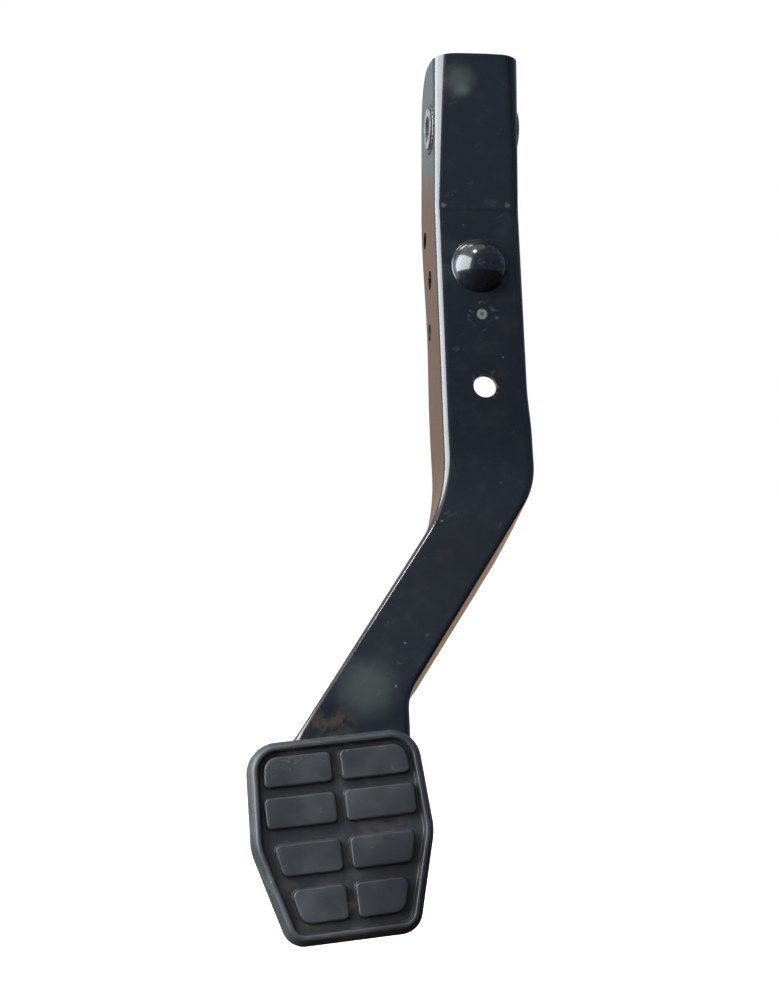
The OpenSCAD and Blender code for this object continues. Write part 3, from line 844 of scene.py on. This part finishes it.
def rubberMaterial():
    material, tree, shader, where = startMaterial("padRubber")
    local = localFrame(tree, where, padFrame)
    axes = add(tree, "SeparateXYZ", {0: local})
    # Raised faces are painted a lighter grey in patches, a painted sheen of the light from above
    high = add(
        tree, "MapRange", {"Value": axes.outputs[2], "From Min": floorZ + 1.6, "From Max": faceZ - 0.1}
    ).outputs["Result"]
    sheenPatches = mark(tree, speckle, {"Vector": where, "Scale": 45.0, "Detail": 3.0, "From": 0.35, "To": 0.7})
    colour = blendColour(
        tree, calc(tree, "MULTIPLY", high, sheenPatches), rubber["colour"], rubber["paler"]
    )
    low = calc(tree, "SUBTRACT", 1.0, high, True)
    film = mark(tree, speckle, {"Vector": where, "Scale": 160.0, "Detail": 6.0, "From": 0.42, "To": 0.72})
    dustMask = calc(tree, "MULTIPLY", calc(tree, "MULTIPLY", film, low), 0.35)
    colour = blendColour(tree, dustMask, colour, rubber["dust"])
    lines = mark(tree, scratches, {"Vector": local, "Scale": 0.12, "Stretch": 0.06, "Turn": 0.3, "Share": 0.56})
    fine = calc(tree, "MULTIPLY", lines, calc(tree, "MULTIPLY", high, 0.16))
    scored = mark(
        tree, scratches,
        {"Vector": local, "Scale": 0.5, "Stretch": 0.2, "Turn": 1.4, "Share": 0.45, "Width": 0.03},
    )
    scratchAt = localFrame(tree, where, padFrame @ Matrix.Translation((*rubber["scratchAt"], faceZ)))
    near = mark(tree, spot, {"Vector": scratchAt, "Inner": 3.0, "Outer": 6.0, "Ragged": 4.0, "Grit": 0.5})
    light = calc(tree, "ADD", fine, calc(tree, "MULTIPLY", scored, calc(tree, "MULTIPLY", near, 0.45)), True)
    for x, y, size in rubber["specks"]:
        speckAt = localFrame(tree, where, padFrame @ Matrix.Translation((x, y, faceZ)))
        dot = mark(tree, spot, {"Vector": speckAt, "Inner": size * 0.5, "Outer": size, "Ragged": 0.4, "Grit": 2.0})
        light = calc(tree, "ADD", light, calc(tree, "MULTIPLY", dot, 0.5), True)
    paler = mark(tree, edgeWear, {"Vector": where, "From": 0.54, "To": 0.66, "Breakup": 300.0})
    light = calc(tree, "ADD", light, calc(tree, "MULTIPLY", paler, 0.15), True)
    colour = blendColour(tree, light, colour, rubber["pale"])
    # Painted shadow: the lower right of the pad is darkened, as if shaded from the light
    shadowAt = localFrame(tree, where, padFrame @ Matrix.Translation((*rubber["shadowAt"], floorZ)))
    shade = mark(tree, spot, {"Vector": shadowAt, "Inner": 12.0, "Outer": 26.0, "Ragged": 6.0, "Grit": 0.08})
    colour = blendColour(tree, calc(tree, "MULTIPLY", shade, 0.7), colour, rubber["shadowTint"])
    ochreAt = localFrame(tree, where, padFrame @ Matrix.Translation((*rubber["ochreAt"], floorZ)))
    stain = mark(tree, spot, {"Vector": ochreAt, "Inner": 0.6, "Outer": 2.4, "Ragged": 2.2, "Grit": 0.5})
    colour = blendColour(tree, calc(tree, "MULTIPLY", stain, 0.6), colour, rubber["ochre"])
    tree.links.new(colour, shader.inputs["Base Color"])
    uneven = calc(tree, "MULTIPLY_ADD", calc(tree, "ADD", dustMask, calc(tree, "MULTIPLY", sheenPatches, 0.3)), 0.35)
    uneven.node.inputs[2].default_value = rubber["roughness"]
    tree.links.new(uneven, shader.inputs["Roughness"])
    height = mark(
        tree, grain, {"Vector": where, "Fine": 2200.0, "Fine Share": 0.35, "Slow": 120.0, "Slow Share": 0.8}
    )
    bump(tree, shader, calc(tree, "SUBTRACT", height, calc(tree, "MULTIPLY", light, 0.4)), 0.1)
    return material


padRubber = rubberMaterial()
padPiece = makePiece("rubberPad", mouldPad(), padRubber, ["pedal_pad"])


def cutWith(piece, cutter):
    # The cut is applied, so that the cutter can go
    slot = piece.modifiers.new("slot", "BOOLEAN")
    slot.object = cutter
    slot.operation = "DIFFERENCE"
    slot.solver = "EXACT"
    bpy.context.view_layer.update()
    cut = bpy.data.meshes.new_from_object(piece.evaluated_get(bpy.context.evaluated_depsgraph_get()))
    piece.modifiers.remove(slot)
    piece.data = cut
    bpy.data.objects.remove(cutter)


cutWith(padPiece, slotCutter())
padNormals = padPiece.modifiers.new("weightedNormals", "WEIGHTED_NORMAL")
padNormals.weight = 80


# Turned parts: a profile of distance along the pivot and radius is spun round it
turned = {
    "tubeRadius": 8.5,
    "tubeBore": 6.5,
    "tubeProud": 0.5,
    "shaft": 5,
    "bushLength": 11,
    "bushFlange": 8,
    "bushFlangeThick": 0.6,
    "beadWidth": 2,
    "beadHeight": 0.65,
    "steps": 96,
    "edgeRound": 0.3,
}


def spinProfile(points):
    bm = bmesh.new()
    verts = [bm.verts.new((x, 0, radius)) for x, radius in points]
    edges = [bm.edges.new((verts[i - 1], verts[i])) for i in range(len(verts))]
    bmesh.ops.spin(
        bm, geom=verts + edges, cent=(0, 0, 0), axis=(1, 0, 0), dvec=(0, 0, 0),
        angle=2 * math.pi, steps=turned["steps"], use_merge=True,
    )
    bmesh.ops.remove_doubles(bm, verts=bm.verts, dist=0.001)
    bmesh.ops.recalc_face_normals(bm, faces=bm.faces)
    return bm


tubeEnd = halfWidth + turned["tubeProud"]
tube = [
    (-tubeEnd, turned["tubeBore"]), (tubeEnd, turned["tubeBore"]),
    (tubeEnd, turned["tubeRadius"]), (-tubeEnd, turned["tubeRadius"]),
]
tubePaint = paintMaterial("tubePaint")
tubePiece = makePiece("pivotTube", spinProfile(tube), tubePaint, ["pivot_tube"])
roundEdges(tubePiece, turned["edgeRound"])

weld = {
    "ripple": 0.16,
    "pitch": 1.7,
    "lump": 0.35,
    "colour": (0.012, 0.013, 0.015, 1),
    "scale": (0.03, 0.026, 0.022, 1),
    "roughness": 0.36,
}


def weldMaterial():
    material, tree, shader, where = startMaterial("paintedWeld")
    film = mark(tree, speckle, {"Vector": where, "Scale": 420.0, "Detail": 5.0, "From": 0.45, "To": 0.7})
    colour = blendColour(tree, calc(tree, "MULTIPLY", film, 0.6), weld["colour"], weld["scale"])
    paler = mark(tree, edgeWear, {"Vector": where, "From": 0.53, "To": 0.62, "Breakup": 600.0})
    colour = blendColour(tree, calc(tree, "MULTIPLY", paler, 0.35), colour, paint["bare"])
    tree.links.new(colour, shader.inputs["Base Color"])
    rough = calc(tree, "MULTIPLY_ADD", film, 0.2)
    rough.node.inputs[2].default_value = weld["roughness"]
    tree.links.new(rough, shader.inputs["Roughness"])
    shader.inputs["Coat Weight"].default_value = 0.6
    shader.inputs["Coat Roughness"].default_value = 0.14
    height = mark(tree, grain, {"Vector": where, "Fine": 1500.0, "Fine Share": 0.4, "Slow": 500.0, "Slow Share": 1.0})
    bump(tree, shader, height, 0.25)
    return material


paintedWeld = weldMaterial()


def ringBead(side):
    # A bead round the tube's end, in overlapping scallops
    bm = bmesh.new()
    count = 12
    width = turned["beadWidth"] * 0.86
    start = [bm.verts.new((0, 0, 0)) for _ in range(count)]
    for k, vert in enumerate(start):
        angle = 2 * math.pi * k / count
        vert.co = (width * math.cos(angle) * 0.9, 0, turned["tubeRadius"] + width * math.sin(angle) * 0.9)
    ring = [bm.edges.new((start[k - 1], start[k])) for k in range(count)]
    bmesh.ops.spin(
        bm, geom=start + ring, cent=(0, 0, 0), axis=(1, 0, 0), dvec=(0, 0, 0),
        angle=2 * math.pi, steps=144, use_merge=True,
    )
    bmesh.ops.remove_doubles(bm, verts=bm.verts, dist=0.001)
    around = 2 * math.pi * turned["tubeRadius"]
    for vert in bm.verts:
        angle = math.atan2(vert.co.z, vert.co.y)
        middle = Vector((0, math.cos(angle), math.sin(angle))) * turned["tubeRadius"]
        turnShare = (angle / (2 * math.pi)) % 1
        scallop = abs(math.sin(math.pi * turnShare * round(around / weld["pitch"])))
        lumps = noise.noise(middle * 0.22 + Vector((side * 7, 0, 0)))
        size = 1 - weld["ripple"] * (1 - scallop) + weld["lump"] * min(0, lumps)
        vert.co = middle + (vert.co - middle) * size
        vert.co.x = side * (halfWidth + max(vert.co.x * turned["beadHeight"] / width, -0.4))
    bmesh.ops.recalc_face_normals(bm, faces=bm.faces)
    return bm


for side, name in ((-1, "left"), (1, "right")):
    makePiece("tubeWeld" + name.capitalize(), ringBead(side), paintedWeld, ["tube_weld_" + name])


def plasticMaterial():
    material, tree, shader, where = startMaterial("bushPlastic")
    shade = mark(tree, speckle, {"Vector": where, "Scale": 260.0, "Detail": 5.0, "From": 0.4, "To": 0.72})
    colour = blendColour(tree, shade, (0.16, 0.165, 0.165, 1), (0.05, 0.048, 0.045, 1))
    tree.links.new(colour, shader.inputs["Base Color"])
    rough = calc(tree, "MULTIPLY_ADD", shade, -0.15)
    rough.node.inputs[2].default_value = 0.5
    tree.links.new(rough, shader.inputs["Roughness"])
    height = mark(tree, grain, {"Vector": where, "Fine": 1800.0, "Fine Share": 0.5, "Slow": 200.0, "Slow Share": 0.4})
    bump(tree, shader, height, 0.08)
    return material


bushPlastic = plasticMaterial()
for side, name in ((-1, "left"), (1, "right")):
    inEnd, outEnd = tubeEnd - turned["bushLength"], tubeEnd + turned["bushFlangeThick"]
    bush = [
        (side * inEnd, turned["shaft"]), (side * inEnd, turned["tubeBore"]), (side * tubeEnd, turned["tubeBore"]),
        (side * tubeEnd, turned["bushFlange"]), (side * outEnd, turned["bushFlange"]),
        (side * outEnd, turned["shaft"]),
    ]
    bushPiece = makePiece(
        "pivotBush" + name.capitalize(), spinProfile(bush), bushPlastic, ["bush_" + name]
    )
    roundEdges(bushPiece, 0.22)


# Weld between the arm and the foot plate, behind the plate
footWeld = {"radius": 2.3, "top": -8, "step": 0.4, "sides": 14, "sink": 0.9, "flatten": 0.8}


def layBead(bm, start, end, seed):
    length = (end - start).length
    along = (end - start).normalized()
    across = Vector((-along.y, along.x, 0))
    rings = round(length / footWeld["step"])
    sides = footWeld["sides"]
    verts = [bm.verts.new((0, 0, 0)) for _ in range(sides)]
    order = bm.verts.layers.int["order"]
    for k, vert in enumerate(verts):
        vert[order] = k
    edges = [bm.edges.new((verts[k - 1], verts[k])) for k in range(sides)]
    bmesh.ops.contextual_create(bm, geom=edges)

    def ringPoints(j):
        travel = length * j / rings
        scallop = abs(math.sin(math.pi * travel / weld["pitch"]))
        wander = noise.noise(Vector((travel * 0.16, seed, 0)))
        close = min(1, 0.55 + 0.45 * min(j, rings - j) / 4)
        size = footWeld["radius"] * close * (1 - weld["ripple"] * (1 - scallop) + 0.12 * wander)
        middle = start + along * travel + across * 0.3 * wander
        points = []
        for k in range(sides):
            angle = 2 * math.pi * k / sides
            lift = size * math.sin(angle) * footWeld["flatten"] - footWeld["sink"]
            points.append(middle + across * size * math.cos(angle) + Vector((0, 0, min(lift, 0.4))))
        return points

    for vert, point in zip(verts, ringPoints(0)):
        vert.co = point
    for j in range(1, rings + 1):
        edges = growRing(bm, edges, ringPoints(j))
    bmesh.ops.contextual_create(bm, geom=edges)


def weldFoot():
    bm = bmesh.new()
    bm.verts.layers.int.new("order")
    left, right = armEdges()
    low = plateTopDrop - armEnd - 0.5
    l, r = left[-1].x, right[-1].x
    layBead(bm, Vector((l + 0.2, footWeld["top"], 0)), Vector((l + 0.2, low, 0)), 1)
    layBead(bm, Vector((l + 0.5, low, 0)), Vector((r - 0.5, low, 0)), 5)
    layBead(bm, Vector((r - 0.2, low, 0)), Vector((r - 0.2, footWeld["top"], 0)), 9)
    bmesh.ops.recalc_face_normals(bm, faces=bm.faces)
    bmesh.ops.transform(bm, matrix=onWeb(0, plateTopDrop), verts=bm.verts)
    return bm


makePiece("footWeldBeads", weldFoot(), paintedWeld, ["foot_weld"])

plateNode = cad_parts["foot_plate"]
plateNode.data.materials.clear()
plateNode.data.materials.append(platePaint)
print("all pieces made")


# Floor, backdrops and lamps, in metres
stage = {
    "floorZ": -0.4,
    "floorRadius": 4.0,
    "floorColour": (0.93, 0.93, 0.93, 1),
    "floorBounce": (0.17, 0.125, 0.1, 1),
    "floorLift": 0.7,
    "worldFill": 0.42,
    "curtainRadius": 1.9,
    "curtainTint": (0.15, 0.2, 0.29, 1),
    "clothTint": (0.03, 0.028, 0.028, 1),
    "tableTint": (0.37, 0.26, 0.19, 1),
    "tableTopTint": (0.33, 0.39, 0.42, 1),
}


def plainObject(name, bm, material):
    mesh = bpy.data.meshes.new(name)
    bm.to_mesh(mesh)
    bm.free()
    mesh.materials.append(material)
    item = bpy.data.objects.new(name, mesh)
    bpy.context.scene.collection.objects.link(item)
    return item


def layFloor():
    material, tree, shader, where = startMaterial("studioFloor")
    shader.inputs["Roughness"].default_value = 0.9
    shader.inputs["Specular IOR Level"].default_value = 0.0
    path = add(tree, "LightPath")
    colour = blendColour(tree, path.outputs["Is Camera Ray"], stage["floorBounce"], stage["floorColour"])
    tree.links.new(colour, shader.inputs["Base Color"])
    lift = calc(tree, "MULTIPLY", path.outputs["Is Camera Ray"], stage["floorLift"])
    glow = add(tree, "Emission", {"Color": (1, 1, 1, 1), "Strength": lift})
    both = add(tree, "AddShader", {0: shader.outputs[0], 1: glow.outputs[0]})
    tree.links.new(both.outputs[0], tree.nodes["Material Output"].inputs["Surface"])
    bm = bmesh.new()
    bmesh.ops.create_circle(
        bm, cap_ends=True, segments=96, radius=stage["floorRadius"],
        matrix=Matrix.Translation((-0.03, 0, stage["floorZ"])),
    )
    return plainObject("floor", bm, material)


def shadeOnly(name, low, high, fromZ, toZ, uneven=0.0):
    # Seen only in reflections, as the dim room in front of the paint is
    material = bpy.data.materials.new(name)
    material.use_nodes = True
    tree = material.node_tree
    tree.nodes.clear()
    where = add(tree, "TexCoord").outputs["Object"]
    axes = add(tree, "SeparateXYZ", {0: where})
    rise = add(
        tree, "MapRange", {"Value": axes.outputs[2], "From Min": fromZ, "From Max": toZ},
        interpolation_type="SMOOTHSTEP",
    )
    cloud = add(tree, "TexNoise", {"Vector": where, "Scale": 2.2, "Detail": 1.0}).outputs["Fac"]
    colour = blendColour(tree, rise.outputs["Result"], low, high)
    strength = calc(tree, "ADD", 1.0, calc(tree, "MULTIPLY", calc(tree, "SUBTRACT", cloud, 0.5), uneven))
    glow = add(tree, "Emission", {"Color": colour, "Strength": strength})
    clear = add(tree, "BsdfTransparent")
    path = add(tree, "LightPath")
    both = add(tree, "MixShader", {0: path.outputs["Is Glossy Ray"], 1: clear.outputs[0], 2: glow.outputs[0]})
    out = add(tree, "OutputMaterial")
    tree.links.new(both.outputs[0], out.inputs["Surface"])
    return material


def hangCurtain():
    # A bowed screen round the front: an arc of height spun about the upright axis
    material = shadeOnly("dimRoom", stage["curtainTint"], (0.2, 0.22, 0.22, 1), 0.9, 1.7, uneven=3.6)
    bm = bmesh.new()
    radius = stage["curtainRadius"]
    verts = []
    for k in range(13):
        rise = math.radians(between(-8, 74, k / 12))
        verts.append(bm.verts.new((0, -radius * math.cos(rise), radius * math.sin(rise) - 0.1)))
    edges = [bm.edges.new(pair) for pair in zip(verts, verts[1:])]
    bmesh.ops.rotate(bm, cent=(0, 0, 0), matrix=Matrix.Rotation(math.radians(-42), 3, "Z"), verts=verts)
    bmesh.ops.spin(
        bm, geom=verts + edges, cent=(0, 0, 0), axis=(0, 0, 1), dvec=(0, 0, 0), angle=math.radians(205), steps=54,
    )
    return plainObject("curtain", bm, material)


def standTable():
    material = shadeOnly("warmTable", stage["tableTint"], stage["tableTopTint"], 0.06, 0.11)
    bm = bmesh.new()
    turn = Matrix.Translation((-0.25, 0.62, 0.2)) @ Matrix.Rotation(math.radians(90), 4, "X")
    bmesh.ops.create_grid(bm, x_segments=1, y_segments=1, size=0.9, matrix=turn)
    return plainObject("tableSheen", bm, material)


def layDimCloth():
    material = shadeOnly("dimFloor", stage["clothTint"], stage["clothTint"], 0, 1)
    bm = bmesh.new()
    bmesh.ops.create_circle(
        bm, cap_ends=True, segments=64, radius=stage["curtainRadius"],
        matrix=Matrix.Translation((0, 0, stage["floorZ"] + 0.003)),
    )
    return plainObject("dimCloth", bm, material)


layFloor()
hangCurtain()
layDimCloth()
standTable()


def hangLamp(name, power, size, place, aim, colour=(1, 1, 1)):
    lamp = bpy.data.lights.new(name, "AREA")
    lamp.energy = power
    lamp.shape = "RECTANGLE"
    lamp.size, lamp.size_y = size
    lamp.color = colour
    item = bpy.data.objects.new(name, lamp)
    item.location = place
    item.rotation_euler = (Vector(aim) - Vector(place)).to_track_quat("-Z", "Y").to_euler()
    bpy.context.scene.collection.objects.link(item)
    return item


hangLamp("windowLeft", 92, (2.2, 1.4), (-1.48, -0.2, 0.36), (-0.03, 0, -0.1), (0.9, 0.95, 1.0))
hangLamp("softTop", 14, (0.3, 0.3), (-0.55, -0.6, 1.6), (0, 0, -0.15))


def lightWorld():
    world = bpy.data.worlds.new("studio")
    world.use_nodes = True
    bpy.context.scene.world = world
    tree = world.node_tree
    tree.nodes.clear()
    fill = add(tree, "Background", {"Color": (1, 1, 1, 1), "Strength": stage["worldFill"]})
    white = add(tree, "Background", {"Color": (1, 1, 1, 1), "Strength": 1.0})
    path = add(tree, "LightPath")
    seen = calc(tree, "MAXIMUM", path.outputs["Is Camera Ray"], path.outputs["Is Glossy Ray"])
    seen = calc(tree, "MAXIMUM", seen, path.outputs["Is Transmission Ray"])
    both = add(tree, "MixShader", {0: seen, 1: fill.outputs[0], 2: white.outputs[0]})
    out = add(tree, "OutputWorld")
    tree.links.new(both.outputs[0], out.inputs["Surface"])


lightWorld()

# Camera matched to the photograph
view = {"place": (-0.133, -0.757, -0.147), "turn": math.radians(7.54), "lens": 69.48}
camera = bpy.data.cameras.new("camera")
camera.lens = view["lens"]
camera.sensor_width = 36
camera.clip_start = 0.01
cameraObject = bpy.data.objects.new("camera", camera)
cameraObject.location = view["place"]
cameraObject.rotation_euler = (math.pi / 2, 0, -view["turn"])
bpy.context.scene.collection.objects.link(cameraObject)
bpy.context.scene.camera = cameraObject
bpy.context.scene.view_settings.view_transform = "Standard"
print("stage, lamps and camera set")

bpy.context.view_layer.update()
